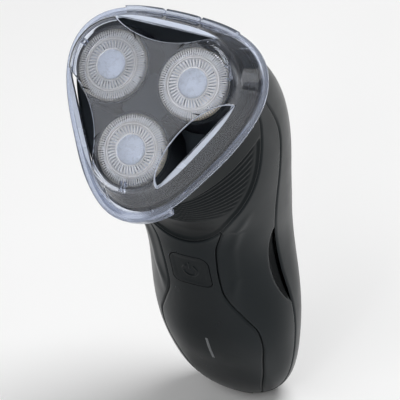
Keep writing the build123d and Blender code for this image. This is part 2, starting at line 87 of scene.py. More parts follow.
# ------------------------------------------------------------------ handle surface
HANDLE = [
    (0.0, 6.40, -4.50, 4.60, 0.05), (0.7, 7.67, -5.83, 5.11, -0.35),
    (2.1, 9.82, -7.88, 5.73, -1.16), (4.1, 12.19, -10.10, 6.23, -2.24),
    (7.1, 14.86, -12.48, 6.60, -3.65), (11.1, 17.37, -14.85, 6.95, -5.18),
    (16.1, 19.36, -17.20, 7.35, -6.55), (22.1, 20.85, -19.80, 7.85, -7.48),
    (29.1, 21.95, -22.90, 8.35, -8.10), (37.1, 22.80, -25.40, 8.60, -8.70),
    (46.1, 23.10, -27.30, 8.60, -9.10), (55.1, 22.70, -29.25, 8.60, -9.10),
    (65.1, 22.05, -31.40, 8.50, -9.00), (75.1, 22.20, -33.25, 8.00, -9.50),
    (85.1, 23.73, -35.26, 6.20, -11.74)]
FAN_Y, FAN_Z = -85.5, 85.1
FAN = [
    (7.5, 72.25, 24.96, 25.15, 17.70), (15.0, 71.40, 26.29, 26.88, 19.20),
    (22.5, 71.00, 27.60, 28.52, 21.60), (30.0, 70.70, 28.81, 29.88, 24.37),
    (37.5, 70.10, 29.81, 30.77, 26.79), (45.0, 69.06, 30.50, 31.00, 28.00)]
NECK_TRI = (26.34, 2.98, 0.31)
SIDE_N = 2.3
FAN_STEP = 71.0 * math.pi / 180               # section parameter per degree of fan
KN = np.array([s[0] for s in HANDLE] + [85.1 + f[0] * FAN_STEP for f in FAN])
S_TOP = KN[-1]


def knot_points(th):
    """Points of every section at angles th: array (sections, ..., 3), mm."""
    th = np.asarray(th, float)
    c, s = np.cos(th), np.sin(th)
    e = 2.0 / SIDE_N
    cx, sy = np.sign(c) * np.abs(c) ** e, np.sign(s) * np.abs(s) ** e
    out = []
    for z, a, yf, yr, ym in HANDLE:
        b = np.where(sy < 0, ym - yf, yr - ym)
        out.append(np.stack([a * cx, ym + b * sy, np.full_like(cx, z)], -1))
    for tau, rc, a, bf, br in FAN:
        w = (tau / 45.0) ** 1.5
        ta = math.radians(tau)
        u = th - math.radians(30)
        r = NECK_TRI[0] + NECK_TRI[1] * np.cos(3 * u) + NECK_TRI[2] * np.cos(6 * u)
        b = np.where(sy < 0, bf, br)
        x = (1 - w) * a * cx + w * r * c
        y = (1 - w) * b * sy + w * r * s + rc
        out.append(np.stack([x, FAN_Y + y * math.cos(ta), FAN_Z + y * math.sin(ta)], -1))
    return np.stack(out)


def spline_matrix(k):
    """Second derivatives of a natural cubic spline as a matrix acting on knot values."""
    n = len(k)
    A = np.zeros((n, n)); B = np.zeros((n, n))
    A[0, 0] = A[-1, -1] = 1
    for i in range(1, n - 1):
        h0, h1 = k[i] - k[i - 1], k[i + 1] - k[i]
        A[i, i - 1], A[i, i], A[i, i + 1] = h0, 2 * (h0 + h1), h1
        B[i, i - 1], B[i, i], B[i, i + 1] = 6 / h0, -6 / h0 - 6 / h1, 6 / h1
    return np.linalg.solve(A, B)


# the foot closes fast, so the spline runs over a stretched parameter there
QK = np.sqrt(KN + 0.4)
M2 = spline_matrix(QK)


def spline_w(s):
    q = np.sqrt(np.clip(np.asarray(s, float), -0.3, S_TOP + 2) + 0.4).ravel()
    i = np.clip(np.searchsorted(QK, q) - 1, 0, len(QK) - 2)
    h = QK[i + 1] - QK[i]
    a, b = (QK[i + 1] - q) / h, (q - QK[i]) / h
    W = np.zeros((len(q), len(QK)))
    r = np.arange(len(q))
    W[r, i] += a
    W[r, i + 1] += b
    W += ((a ** 3 - a) * h * h / 6)[:, None] * M2[i] + ((b ** 3 - b) * h * h / 6)[:, None] * M2[i + 1]
    return W


def surf(s, th):
    """Handle surface point(s) in mm for section parameter s and angle th."""
    s, th = np.broadcast_arrays(np.asarray(s, float), np.asarray(th, float))
    sh = s.shape
    P = knot_points(th.ravel())                     # (K, n, 3)
    W = spline_w(s.ravel())                         # (n, K)
    return np.einsum("nk,knc->nc", W, P).reshape(sh + (3,))


def surf_n(s, th):
    d = 0.02
    ds = (surf(s + d, th) - surf(s - d, th)) / (2 * d)
    dt = (surf(s, th + 0.004) - surf(s, th - 0.004)) / 0.008
    n = np.cross(dt, ds)
    n /= np.linalg.norm(n, axis=-1, keepdims=True) + 1e-12
    return n


def solve(target, fun, s0, t0, it=14):
    """Find (s, th) where fun(surf point) = target (two values), Newton."""
    s, t = np.array(s0, float), np.array(t0, float)
    for _ in range(it):
        P = surf(s, t); F = fun(P) - target
        d = 0.01
        Js = (fun(surf(s + d, t)) - fun(P)) / d
        Jt = (fun(surf(s, t + 0.002)) - fun(P)) / 0.002
        det = Js[..., 0] * Jt[..., 1] - Js[..., 1] * Jt[..., 0]
        det = np.where(np.abs(det) < 1e-6, 1e-6, det)
        s_step = np.clip((F[..., 0] * Jt[..., 1] - F[..., 1] * Jt[..., 0]) / det, -4, 4)
        t_step = np.clip((Js[..., 0] * F[..., 1] - Js[..., 1] * F[..., 0]) / det, -0.3, 0.3)
        s = np.clip(s - s_step, 0.0, S_TOP + 1.5); t = t - t_step
    return s, t


# seams (mm)
PANEL = [(0.4, 5.0), (4.0, 8.6), (10.0, 11.3), (19.0, 14.0), (27.0, 15.7),
         (33.5, 16.9), (38.0, 17.0), (43.0, 16.2), (47.0, 14.4), (51.0, 12.5),
         (55.0, 10.6), (59.0, 9.3), (64.0, 8.9), (69.0, 8.9), (73.0, 9.1),
         (77.0, 9.4), (80.5, 10.0), (83.0, 10.9), (85.5, 11.9), (87.6, 12.9)]
NECK_EDGE = [(0.0, 81.9), (3.0, 82.2), (5.5, 83.0), (9.0, 84.9), (12.5, 88.0),
             (17.5, 94.6), (19.9, 98.0), (21.8, 101.4), (23.4, 105.2),
             (24.8, 110.2), (26.0, 117.6), (26.9, 127.5), (27.5, 140.0)]
REAR_SEAM = [(-7.9, -4.0), (-8.0, 8.0), (-8.1, 20.0), (-8.2, 29.0),
             (-9.2, 40.0), (-10.9, 50.0), (-13.2, 61.0), (-15.2, 74.0),
             (-17.6, 84.0), (-18.7, 94.0), (-18.8, 104.0), (-18.9, 112.0),
             (-19.8, 120.0), (-22.4, 127.0), (-25.6, 133.0), (-31.0, 141.0),
             (-40.0, 150.0)]


def spline1(xk, yk):
    xk, yk = np.array(xk, float), np.array(yk, float)
    M = spline_matrix(xk)
    m = M @ yk

    def f(x):
        x = np.asarray(x, float)
        i = np.clip(np.searchsorted(xk, x) - 1, 0, len(xk) - 2)
        h = xk[i + 1] - xk[i]
        a, b = (xk[i + 1] - x) / h, (x - xk[i]) / h
        return a * yk[i] + b * yk[i + 1] + ((a ** 3 - a) * m[i] + (b ** 3 - b) * m[i + 1]) * h * h / 6
    return f


panel_w = spline1([z for z, w in PANEL], [w for z, w in PANEL])
rear_y = spline1([z for y, z in REAR_SEAM], [y for y, z in REAR_SEAM])
_ne = np.array(NECK_EDGE)
_nl = np.concatenate([[0], np.cumsum(np.hypot(*np.diff(_ne, axis=0).T))])
neck_x, neck_z = spline1(_nl, _ne[:, 0]), spline1(_nl, _ne[:, 1])
XZ = lambda P: P[..., [0, 2]]
YZ = lambda P: P[..., [1, 2]]


def spaced(n, size, lo=True, hi=True):
    """n + 12 shares from 0 to 1, closer together near the ends of a length of size mm."""
    fine = np.array([0.0, 0.14, 0.30, 0.48, 0.68, 0.92]) / size
    a, b = (1.25 / size if lo else 0.0), (1 - 1.25 / size if hi else 1.0)
    mid = np.linspace(a, b, n)
    return np.concatenate([fine if lo else [], mid, 1 - fine[::-1] if hi else []])


def edge_distance(P, sides):
    """Distance in mm of grid points from the named sides (l, r, b, t) along the grid."""
    du = np.concatenate([np.zeros((P.shape[0], 1)), np.cumsum(np.linalg.norm(np.diff(P, axis=1), axis=-1), axis=1)], 1)
    dv = np.concatenate([np.zeros((1, P.shape[1])), np.cumsum(np.linalg.norm(np.diff(P, axis=0), axis=-1), axis=0)], 0)
    d = np.full(P.shape[:2], 99.0)
    if "l" in sides: d = np.minimum(d, du)
    if "r" in sides: d = np.minimum(d, du[:, -1:] - du)
    if "b" in sides: d = np.minimum(d, dv)
    if "t" in sides: d = np.minimum(d, dv[-1:] - dv)
    return d


def outward(P, N, yc=-10.0):
    """Normals turned away from the handle's middle line."""
    q = P - np.array([0.0, yc, 0.0]); q[..., 2] = 0
    return N * np.sign(np.sum(N * q, -1, keepdims=True))


def rolled(P, N, d, depth=0.50, w=0.85):
    """Surface rolled inwards towards its parting lines."""
    return P - N * (depth * np.clip(1 - d / w, 0, 1) ** 2)[..., None]


def arc_resample(P, ST, n):
    """Resample a polyline of (s, th) by the length of its surface points."""
    L = np.concatenate([[0], np.cumsum(np.linalg.norm(np.diff(P, axis=0), axis=1))])
    t = np.linspace(0, L[-1], n) if np.isscalar(n) else np.asarray(n) * L[-1]
    return np.stack([np.interp(t, L, ST[:, 0]), np.interp(t, L, ST[:, 1])], -1)


# rear seam on the right side, from the front of the foot up to the top
def rear_curve():
    # near the foot the seam crosses from x = 0 to the side: march in x
    xs = np.linspace(0.0, 15.0, 60)
    s, t = solve(np.stack([xs, np.full_like(xs, -8.0)], -1), lambda P: P[..., [0, 1]],
                 np.full_like(xs, 2.3) + xs ** 2 * 0.02, -np.pi / 2 + xs / 12.0 * 0.6)
    a = np.stack([s, t], -1)
    z1 = surf(s[-1], t[-1])[2]
    zs = np.linspace(z1 + 0.5, 140.5, 200)
    s2, t2 = solve(np.stack([rear_y(zs), zs], -1), YZ, np.minimum(zs, 85.0) + np.clip((zs - 85) * 0.9, 0, 60), np.full_like(zs, -0.25))
    b = np.stack([s2, t2], -1)
    b = b[b[:, 0] < S_TOP - 0.02]
    ST = np.vstack([a, b])
    return ST


RC_ST = rear_curve()
RC_P = surf(RC_ST[:, 0], RC_ST[:, 1])
# neck edge on the right side from the middle to the rear seam
ls = np.linspace(0, _nl[-1], 260)
nx, nz = neck_x(ls), neck_z(ls)
s_, t_ = solve(np.stack([nx, nz], -1), XZ, np.where(nz < 85, nz, 85 + (nz - 85) * 0.95), -np.pi / 2 + np.arcsin(np.clip(nx / 28.5, 0, 0.93)))
NE_ST = np.stack([s_, t_], -1)
NE_P = surf(s_, t_)
# where neck edge meets the rear seam
over = NE_P[:, 1] > np.interp(NE_P[:, 2], RC_P[60:, 2], RC_P[60:, 1]) - 0.35
i_tip = int(np.argmax(over)) if over.any() else len(NE_P) - 1
NE_ST, NE_P = NE_ST[:i_tip + 1], NE_P[:i_tip + 1]
j_tip = int(np.argmin(np.abs(RC_P[:, 2] - NE_P[-1, 2])))
# panel edge on the right from the rear seam at the foot up to the corner
zc = 87.6
i_cor = int(np.argmin(np.hypot(NE_P[:, 0] - 12.9, NE_P[:, 2] - 88.1)))
# start: where x = panel_w(z) on the y=-8 curve
dd = RC_P[:60, 0] - panel_w(np.clip(RC_P[:60, 2], 0.4, 87))
i_foot = int(np.argmin(np.abs(dd)))
zf = RC_P[i_foot, 2]
zs = np.linspace(zf, zc, 200)
xs = panel_w(zs)
s_, t_ = solve(np.stack([xs, zs], -1), XZ, np.minimum(zs, 85.1), -np.pi / 2 + np.arcsin(np.clip(xs / 23.5, 0, 0.9)))
PE_ST = np.stack([s_, t_], -1)
PE_ST[0] = RC_ST[i_foot]
PE_ST[-1] = NE_ST[i_cor]
PE_P = surf(PE_ST[:, 0], PE_ST[:, 1])
print("seams: foot", RC_P[i_foot].round(1), "corner", NE_P[i_cor].round(1), "tip", NE_P[-1].round(1), RC_P[j_tip].round(1))


def mir(ST):
    """Mirror of a seam across x = 0."""
    out = np.array(ST)
    out[:, 1] = -np.pi - out[:, 1]
    return out


def coons(bot, top, left, right, n, m):
    """Patch in (s, th): bot/top have n points left to right, left/right m points upwards."""
    u = (np.linspace(0, 1, n) if np.isscalar(n) else n)[None, :, None]
    v = (np.linspace(0, 1, m) if np.isscalar(m) else m)[:, None, None]
    P = (1 - v) * bot[None] + v * top[None] + (1 - u) * left[:, None] + u * right[:, None]
    P -= (1 - u) * (1 - v) * bot[0] + u * (1 - v) * bot[-1] + (1 - u) * v * top[0] + u * v * top[-1]
    return P


# ------------------------------------------------------------------ mesh helpers
def mesh_obj(name, verts, faces, body, smooth=True):
    me = bpy.data.meshes.new(name)
    me.from_pydata([tuple(map(float, v)) for v in np.asarray(verts) * MM], [], [tuple(map(int, f)) for f in faces])
    me.update()
    o = bpy.data.objects.new(name, me)
    bpy.context.scene.collection.objects.link(o)
    if smooth:
        me.polygons.foreach_set("use_smooth", [True] * len(me.polygons))
    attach(o, body)
    return o


def grid_faces(m, n, wrap_n=False, off=0, flip=False):
    f = []
    nn = n if wrap_n else n - 1
    for i in range(m - 1):
        for j in range(nn):
            a, b = off + i * n + j, off + i * n + (j + 1) % n
            c, d = off + (i + 1) * n + (j + 1) % n, off + (i + 1) * n + j
            f.append((a, d, c, b) if flip else (a, b, c, d))
    return f


def modifier(o, kind, name, **kw):
    md = o.modifiers.new(name, kind)
    for k, v in kw.items():
        setattr(md, k, v)
    return md


def apply_mods(o):
    dg = bpy.context.evaluated_depsgraph_get()
    me = bpy.data.meshes.new_from_object(o.evaluated_get(dg), depsgraph=dg)
    o.modifiers.clear()
    o.data = me
    return o


def fix_normals(o):
    bm = bmesh.new(); bm.from_mesh(o.data)
    bmesh.ops.remove_doubles(bm, verts=bm.verts, dist=2e-6)
    bmesh.ops.recalc_face_normals(bm, faces=bm.faces)
    bm.to_mesh(o.data); bm.free()
    return o


def shell_piece(name, P, body, thick, bevel, cuts=(), wrap=False, replaces=(), seg=3, extra=None, ang=35):
    """Closed shell from a grid of outer points (mm), edges rounded, with cutters taken out."""
    m, n = P.shape[:2]
    o = mesh_obj(name, P.reshape(-1, 3), grid_faces(m, n, wrap), body)
    if extra is not None:
        extra(o)
    bm = bmesh.new(); bm.from_mesh(o.data)
    bmesh.ops.remove_doubles(bm, verts=bm.verts, dist=3e-6)
    bmesh.ops.recalc_face_normals(bm, faces=bm.faces)
    # outward: compare with the direction away from the handle's middle line
    c = np.mean([f.normal.dot(f.calc_center_median() - Vector((0, -0.010 if f.calc_center_median().z < 0.085 else -0.025, f.calc_center_median().z))) for f in bm.faces])
    if c < 0:
        bmesh.ops.reverse_faces(bm, faces=bm.faces)
    bm.to_mesh(o.data); bm.free()
    modifier(o, "SOLIDIFY", "thick", thickness=thick * MM, offset=-1.0, use_even_offset=False)
    apply_mods(o)
    for cobj in cuts:
        modifier(o, "BOOLEAN", "cut", operation="DIFFERENCE", object=cobj, solver="EXACT")
        apply_mods(o)
    if bevel:
        modifier(o, "BEVEL", "edge", width=bevel * MM, segments=seg, limit_method="ANGLE", angle_limit=math.radians(ang), harden_normals=False, use_clamp_overlap=True)
        apply_mods(o)
    sharpen(o, 38)
    o.data.update()
    if replaces:
        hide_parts(*replaces)
    return o


def sharpen(o, ang):
    """Sharp shading where faces meet at more than ang degrees, smooth elsewhere."""
    bm = bmesh.new(); bm.from_mesh(o.data)
    lim = math.radians(ang)
    for e in bm.edges:
        e.smooth = not (len(e.link_faces) == 2 and e.calc_face_angle(0.0) > lim)
    for f in bm.faces:
        f.smooth = True
    bm.to_mesh(o.data); bm.free()
    return o


def temp_mesh(name, verts, faces):
    me = bpy.data.meshes.new(name)
    me.from_pydata([tuple(map(float, v)) for v in np.asarray(verts) * MM], [], [tuple(map(int, f)) for f in faces])
    bm = bmesh.new(); bm.from_mesh(me); bmesh.ops.recalc_face_normals(bm, faces=bm.faces); bm.to_mesh(me); bm.free()
    o = bpy.data.objects.new(name, me)
    bpy.context.scene.collection.objects.link(o)
    return o


def prism(name, pts, to3, d0, d1):
    """Closed prism of an outline; to3(p, q, d) gives the point in mm."""
    n = len(pts)
    v = [to3(p, q, d0) for p, q in pts] + [to3(p, q, d1) for p, q in pts]
    f = [tuple(range(n))[::-1], tuple(range(n, 2 * n))] + [(i, (i + 1) % n, n + (i + 1) % n, n + i) for i in range(n)]
    return temp_mesh(name, v, f)


def rrect(w, h, r, seg=8, cx=0.0, cy=0.0):
    """Rounded rectangle outline; r is one radius or four (tr, tl, bl, br)."""
    rs = [r] * 4 if not isinstance(r, (list, tuple)) else r
    out = []
    for (sx, sy, a0), rr in zip(((1, 1, 0), (-1, 1, 90), (-1, -1, 180), (1, -1, 270)), rs):
        for i in range(seg + 1):
            a = math.radians(a0 + 90 * i / seg)
            out.append((cx + sx * (w / 2 - rr) + rr * math.cos(a), cy + sy * (h / 2 - rr) + rr * math.sin(a)))
    return out


def drop(o):
    me = o.data
    bpy.data.objects.remove(o)
    if me.users == 0:
        bpy.data.meshes.remove(me)


# ------------------------------------------------------------------ materials
def mat_new(name):
    m = bpy.data.materials.new(name)
    m.use_nodes = True
    nt = m.node_tree
    b = nt.nodes["Principled BSDF"]
    tc = nt.nodes.new("ShaderNodeTexCoord")
    return m, nt, b, tc.outputs["Object"]


def noise(nt, co, scale, detail=4.0, rough=0.5):
    n = nt.nodes.new("ShaderNodeTexNoise")
    n.inputs["Scale"].default_value = scale
    n.inputs["Detail"].default_value = detail
    n.inputs["Roughness"].default_value = rough
    nt.links.new(co, n.inputs["Vector"])
    return n.outputs["Fac"]


def ramp(nt, fac, stops):
    r = nt.nodes.new("ShaderNodeValToRGB")
    e = r.color_ramp.elements
    e[0].position, e[0].color = stops[0][0], stops[0][1]
    e[1].position, e[1].color = stops[-1][0], stops[-1][1]
    for p, c in stops[1:-1]:
        x = e.new(p); x.color = c
    nt.links.new(fac, r.inputs["Fac"])
    return r.outputs["Color"]


def grey(v):
    return (v, v, v, 1)


def bump(nt, b, height, strength, dist, prev=None):
    bp = nt.nodes.new("ShaderNodeBump")
    bp.inputs["Strength"].default_value = strength
    bp.inputs["Distance"].default_value = dist
    nt.links.new(height, bp.inputs["Height"])
    if prev is not None:
        nt.links.new(prev, bp.inputs["Normal"])
    nt.links.new(bp.outputs["Normal"], b.inputs["Normal"])
    return bp.outputs["Normal"]


def plastic(name, dark, light, rough_lo, rough_hi, grain=2600.0, grain_s=0.25, grain_d=0.00002, spec=0.5, mott=55.0, tint=(0.80, 0.93, 1.0, 1)):
    """Moulded plastic: mottled colour, faint spark-eroded grain, uneven gloss."""
    m, nt, b, co = mat_new(name)
    nt.links.new(ramp(nt, noise(nt, co, mott, 5), [(0.3, dark), (0.7, light)]), b.inputs["Base Color"])
    nt.links.new(ramp(nt, noise(nt, co, 130.0, 6, 0.6), [(0.3, grey(rough_lo)), (0.75, grey(rough_hi))]), b.inputs["Roughness"])
    b.inputs["Specular IOR Level"].default_value = spec
    b.inputs["Specular Tint"].default_value = tint
    n1 = bump(nt, b, noise(nt, co, grain, 2), grain_s, grain_d)
    bump(nt, b, noise(nt, co, 240.0, 3), 0.05, 0.0001, n1)
    return m


M_BODY = plastic("body_black", (0.0028, 0.0040, 0.0048, 1), (0.0042, 0.0058, 0.0068, 1), 0.27, 0.36, spec=0.20)
M_NECK = plastic("neck_black", (0.0022, 0.0030, 0.0034, 1), (0.0034, 0.0045, 0.0050, 1), 0.32, 0.42, spec=0.16)
# rougher grip texture; its darker colour is painted shade for the finger recess
M_GRIP_SHADE = plastic("grip_texture_painted_shade", (0.0015, 0.0019, 0.0022, 1), (0.0022, 0.0028, 0.0032, 1), 0.55, 0.68, grain=1400.0, grain_s=0.5, spec=0.10)
M_BUTTON = plastic("button_rubber", (0.0028, 0.0036, 0.0042, 1), (0.0042, 0.0052, 0.0060, 1), 0.34, 0.46, grain=1800.0, grain_s=0.3, spec=0.19)
M_HEAD = plastic("head_black", (0.007, 0.008, 0.0105, 1), (0.010, 0.0115, 0.014, 1), 0.34, 0.46, spec=0.2)
M_CHAMBER = plastic("chamber_black", (0.0025, 0.003, 0.0033, 1), (0.0040, 0.0046, 0.0050, 1), 0.34, 0.46, spec=0.12)
M_LENS = plastic("lens", (0.10, 0.105, 0.11, 1), (0.15, 0.155, 0.16, 1), 0.25, 0.4, grain_s=0.1)

sm = lambda x: np.clip(x, 0, 1) ** 2 * (3 - 2 * np.clip(x, 0, 1))

# ------------------------------------------------------------------ handle pieces
DEN = 1.0

# front inlay
n, m = spaced(78, 30.0), spaced(225, 86.0)
up = arc_resample(PE_P, PE_ST, m)
foot_i = np.arange(0, i_foot + 1)
bot_half = RC_ST[:i_foot + 1]                       # from x=0 to the right foot corner
bot = np.vstack([mir(bot_half)[::-1][:-1], bot_half])
bot_p = surf(bot[:, 0], bot[:, 1])
bot = arc_resample(bot_p, bot, n)
top_half = NE_ST[:i_cor + 1]
top = np.vstack([mir(top_half)[::-1][:-1], top_half])
top_p = surf(top[:, 0], top[:, 1])
top = arc_resample(top_p, top, n)
G = coons(bot, top, mir(up), up, n, m)
PN = surf(G[..., 0], G[..., 1])
PN = rolled(PN, outward(PN, surf_n(G[..., 0], G[..., 1])), edge_distance(PN, "lrt"))
PN = rolled(PN, outward(PN, surf_n(G[..., 0], G[..., 1])), edge_distance(PN, "b"), 0.16, 0.5)
print("panel grid", PN.shape, PN.reshape(-1, 3).min(0).round(1), PN.reshape(-1, 3).max(0).round(1))
bz0, bz1 = 62.5, 75.1
btn_out = rrect(13.0, bz1 - bz0, [3.2, 3.2, 2.0, 2.0], 10, 0, (bz0 + bz1) / 2)
hole_out = rrect(13.5, bz1 - bz0 + 0.5, [3.4, 3.4, 2.2, 2.2], 10, 0, (bz0 + bz1) / 2)
Y3 = lambda p, q, d: (p, d, q)
cut_btn = prism("cut_btn", hole_out, Y3, -60, -14)
cut_slit = prism("cut_slit", rrect(0.95, 10.9, 0.45, 5, 0, 31.55), Y3, -60, -5)
o = shell_piece("front_inlay", PN, "root", 1.6, 0.0, cuts=(cut_btn, cut_slit), replaces=("front_panel",))
o.data.materials.append(M_BODY)
drop(cut_btn); drop(cut_slit)

# side shells
m, wn = spaced(300, 150.0, False, False), spaced(52, 14.0)
F = np.vstack([PE_ST, NE_ST[i_cor + 1:]])
FP = surf(F[:, 0], F[:, 1])
F = arc_resample(FP, F, m)
Rr = RC_ST[i_foot:j_tip + 1]
RP = surf(Rr[:, 0], Rr[:, 1])
Rr = arc_resample(RP, Rr, m)
# heights of the two edges; the rows pair the edges by equal shares of their arc length
zF, zR = surf(F[:, 0], F[:, 1])[:, 2], surf(Rr[:, 0], Rr[:, 1])[:, 2]
for name, cad, sgn in (("side_shell_right", "right_side_shell", 1), ("side_shell_left", "left_side_shell", -1)):
    a, b = (F, Rr) if sgn > 0 else (mir(F), mir(Rr))
    w = wn[None, :, None]
    G = (1 - w) * a[:, None] + w * b[:, None]
    P = surf(G[..., 0], G[..., 1])
    Nn = outward(P, surf_n(G[..., 0], G[..., 1]))
    d_all = edge_distance(P, "lr")
    # finger recess along the rear edge: a pressed-in crescent with a quick step at its front
    zz = P[..., 2]
    dr = edge_distance(P, "r")
    bell = np.sin(np.pi * np.clip((zz - 47.5) / 34.0, 0, 1)) ** 0.55
    wid = 0.2 + 5.3 * bell
    dep = 1.25 * np.clip(bell * 1.3, 0, 1) * sm((1 - dr / wid) / 0.42)
    # soft crease beside the inlay, from the neck down to the waist
    dl = edge_distance(P, "l")
    cx_ = 5.2 * np.clip((zz - 52.0) / 14.0, 0, 1) ** 0.7
    amp = 0.42 * sm((zz - 50.0) / 12.0) * sm((97.0 - zz) / 9.0)
    crease = amp * np.exp(-((dl - cx_) / 1.5) ** 2)
    P = P - Nn * (dep - crease)[..., None]
    P = rolled(P, Nn, d_all, 0.55, 0.95)
    o = shell_piece(name, P, "root", 1.5, 0.0, replaces=(cad,))
    o.data.materials.append(M_BODY)
    o.data.materials.append(M_GRIP_SHADE)
    from mathutils.kdtree import KDTree
    pts_ = P.reshape(-1, 3) * MM
    kd = KDTree(len(pts_))
    for i, q in enumerate(pts_):
        kd.insert(q.tolist(), i)
    kd.balance()
    dflat = dep.ravel()
    # faces deep in the finger recess get the darker grip material: painted shade in the recess
    for f in o.data.polygons:
        if dflat[kd.find(f.center)[1]] > 0.6:
            f.material_index = 1

# rear shell: full rings at the foot, then open between the seams
srows = np.concatenate([np.linspace(0.0, 1.0, 26) ** 1.5 * 2.12, []])
top_r = RC_ST[RC_ST[:, 0] <= S_TOP]
k0 = 3
seam = arc_resample(RC_P[k0:], RC_ST[k0:], 330)
ts_ = spaced(171, 66.0)
n = len(ts_)
rows = []
for s in srows:
    rows.append(np.stack([np.full(n, s), -np.pi / 2 + np.linspace(0, 2 * np.pi, n)], -1))
for s, t in seam[1:]:
    rows.append(np.stack([np.full(n, s), t + (np.pi - 2 * t) * ts_], -1))
s, t = seam[-1]
G = np.stack(rows)
P = surf(G[..., 0], G[..., 1])
Nn = outward(P, surf_n(G[..., 0], G[..., 1]), -8.0)
dsd = edge_distance(P, "lr")
open_ = np.zeros(len(P)); open_[len(srows):] = sm((np.arange(len(P) - len(srows)) - 13.0) / 8.0)
# the parting line across the foot is finer than the one up the sides
ft_pts = np.vstack([RC_P[:i_foot + 1][::-1] * [-1, 1, 1], RC_P[1:i_foot + 1]])
sg = ft_pts[1:] - ft_pts[:-1]
dft = np.full(P.shape[:2], 99.0)
for i in range(len(srows) - 14, len(srows) + 30):
    d0 = P[i][:, None, :] - ft_pts[None, :-1, :]
    w_ = np.clip(np.sum(d0 * sg[None], -1) / (np.sum(sg * sg, -1)[None] + 1e-12), 0, 1)
    dft[i] = np.min(np.linalg.norm(d0 - w_[..., None] * sg[None], axis=-1), axis=1)
roll = np.maximum(0.45 * open_[:, None] * np.clip(1 - dsd / 0.85, 0, 1) ** 2, 0.16 * np.clip(1 - dft / 0.5, 0, 1) ** 2)
P = P - Nn * roll[..., None]
# the foot closes flat round the charging inlet
ring0 = P[0]
aa = np.arctan2(ring0[:, 1], ring0[:, 0])
hw, hh, pn = 4.25, 3.05, 6.0
rr_ = 1.0 / (np.abs(np.cos(aa) / hw) ** pn + np.abs(np.sin(aa) / hh) ** pn) ** (1 / pn)
inl = np.stack([rr_ * np.cos(aa), rr_ * np.sin(aa), np.zeros(n)], -1)
P = np.concatenate([inl[None], (inl * 0.5 + ring0 * 0.5)[None], P])
o = shell_piece("rear_cover", P, "root", 1.5, 0.0, replaces=("rear_shell",))
o.data.materials.append(M_BODY)

# neck piece
n, m = 241, spaced(150, 50.0, True, False)
half = NE_ST
bot = np.vstack([mir(half)[::-1][:-1], half])
bot = arc_resample(surf(bot[:, 0], bot[:, 1]), bot, n)
tip_t = RC_ST[j_tip:]
tip_t = tip_t[tip_t[:, 0] <= S_TOP]
right = arc_resample(surf(tip_t[:, 0], tip_t[:, 1]), tip_t, m) if len(tip_t) > 1 else np.repeat(NE_ST[-1:], len(m), 0)
right = right.copy(); right[0] = NE_ST[-1]; right[-1, 0] = S_TOP
left = mir(right)
top = np.stack([np.full(n, S_TOP), np.linspace(left[-1, 1], right[-1, 1], n)], -1)
G = coons(bot, top, left, right, n, m)
G[..., 0] = np.clip(G[..., 0], 0, S_TOP)
P = surf(G[..., 0], G[..., 1])
Nn = surf_n(G[..., 0], G[..., 1])
Nn = Nn * np.sign(np.sum(Nn * (P - np.array([0, -22.0, 0]) * [1, 1, 0] - P * [0, 0, 1]), -1, keepdims=True))
tau = (G[..., 0] - 85.1) / FAN_STEP
# distance from the lower U edge
bp = P[:1]
low = P[0]
seg = low[1:] - low[:-1]
edge = np.empty(P.shape[:2])
for i in range(P.shape[0]):
    d0 = P[i][:, None, :] - low[None, :-1, :]
    w_ = np.clip(np.sum(d0 * seg[None], -1) / (np.sum(seg * seg, -1)[None] + 1e-12), 0, 1)
    edge[i] = np.min(np.linalg.norm(d0 - w_[..., None] * seg[None], axis=-1), axis=1)
sink = 0.75 * sm(edge / 1.6) * sm((36.5 - tau) / 1.5)
th = G[..., 1]
lowlim = 11.0 + 7.0 * np.abs(np.sin((th + np.pi / 2))) ** 1.5
ribmask = sm((tau - lowlim) / 2.0) * sm((36.0 - tau) / 1.0) * sm((edge - 2.2) / 2.0)
rib = 0.34 * (0.5 - 0.5 * np.cos(2 * np.pi * (tau - 36.0) / 2.0)) ** 0.7
P = P - Nn * (sink + rib * ribmask)[..., None]
P = rolled(P, Nn, edge, 0.40, 0.8)
o = shell_piece("neck_piece", P, "root", 1.5, 0.0, replaces=("neck_housing",), ang=50)
o.data.materials.append(M_NECK)

# button: plate follows the inlay, raised rim and symbol
cut = prism("btn_keep", btn_out, Y3, -60, -14)
gx = np.linspace(-6.9, 6.9, 120); gz = np.linspace(bz0 - 0.5, bz1 + 0.5, 110)
X, Z = np.meshgrid(gx, gz)
s_, t_ = solve(np.stack([X, Z], -1), XZ, np.minimum(Z, 85.1), -np.pi / 2 + np.arcsin(np.clip(X / 22, -0.9, 0.9)))
P = surf(s_, t_)
N_ = np.array([0, -1.0, 0])
zc_ = (bz0 + bz1) / 2
rr = np.hypot(X, Z - zc_ + 0.2)
dx, dz = np.abs(X), np.abs(Z - zc_)
inset = np.minimum(6.5 - dx, (bz1 - bz0) / 2 - dz)
dish = -0.25 * sm(inset / 2.0) * sm(1.2 - rr / 9)
ringm = sm((0.42 - np.abs(rr - 2.35)) / 0.16)
ang = np.degrees(np.arctan2(X, Z - zc_ + 0.2))
ringm = ringm * sm((np.abs(ang) - 26) / 6)
bar = sm((0.38 - np.abs(X)) / 0.16) * sm((Z - zc_ + 0.2 - 0.6) / 0.2) * sm((3.5 - (Z - zc_ + 0.2)) / 0.2)
P = P + N_ * (dish + 0.22 * np.maximum(ringm, bar))[..., None]
o = mesh_obj("button_cap", P.reshape(-1, 3), grid_faces(*P.shape[:2]), "button")
bm = bmesh.new(); bm.from_mesh(o.data); bmesh.ops.recalc_face_normals(bm, faces=bm.faces)
if sum(f.normal.y for f in bm.faces) > 0:
    bmesh.ops.reverse_faces(bm, faces=bm.faces)
bm.to_mesh(o.data); bm.free()
modifier(o, "SOLIDIFY", "t", thickness=1.8 * MM, offset=-1.0)
apply_mods(o)
modifier(o, "BOOLEAN", "k", operation="INTERSECT", object=cut, solver="EXACT")
apply_mods(o)
modifier(o, "BEVEL", "e", width=0.25 * MM, segments=3, limit_method="ANGLE", angle_limit=math.radians(50))
apply_mods(o)
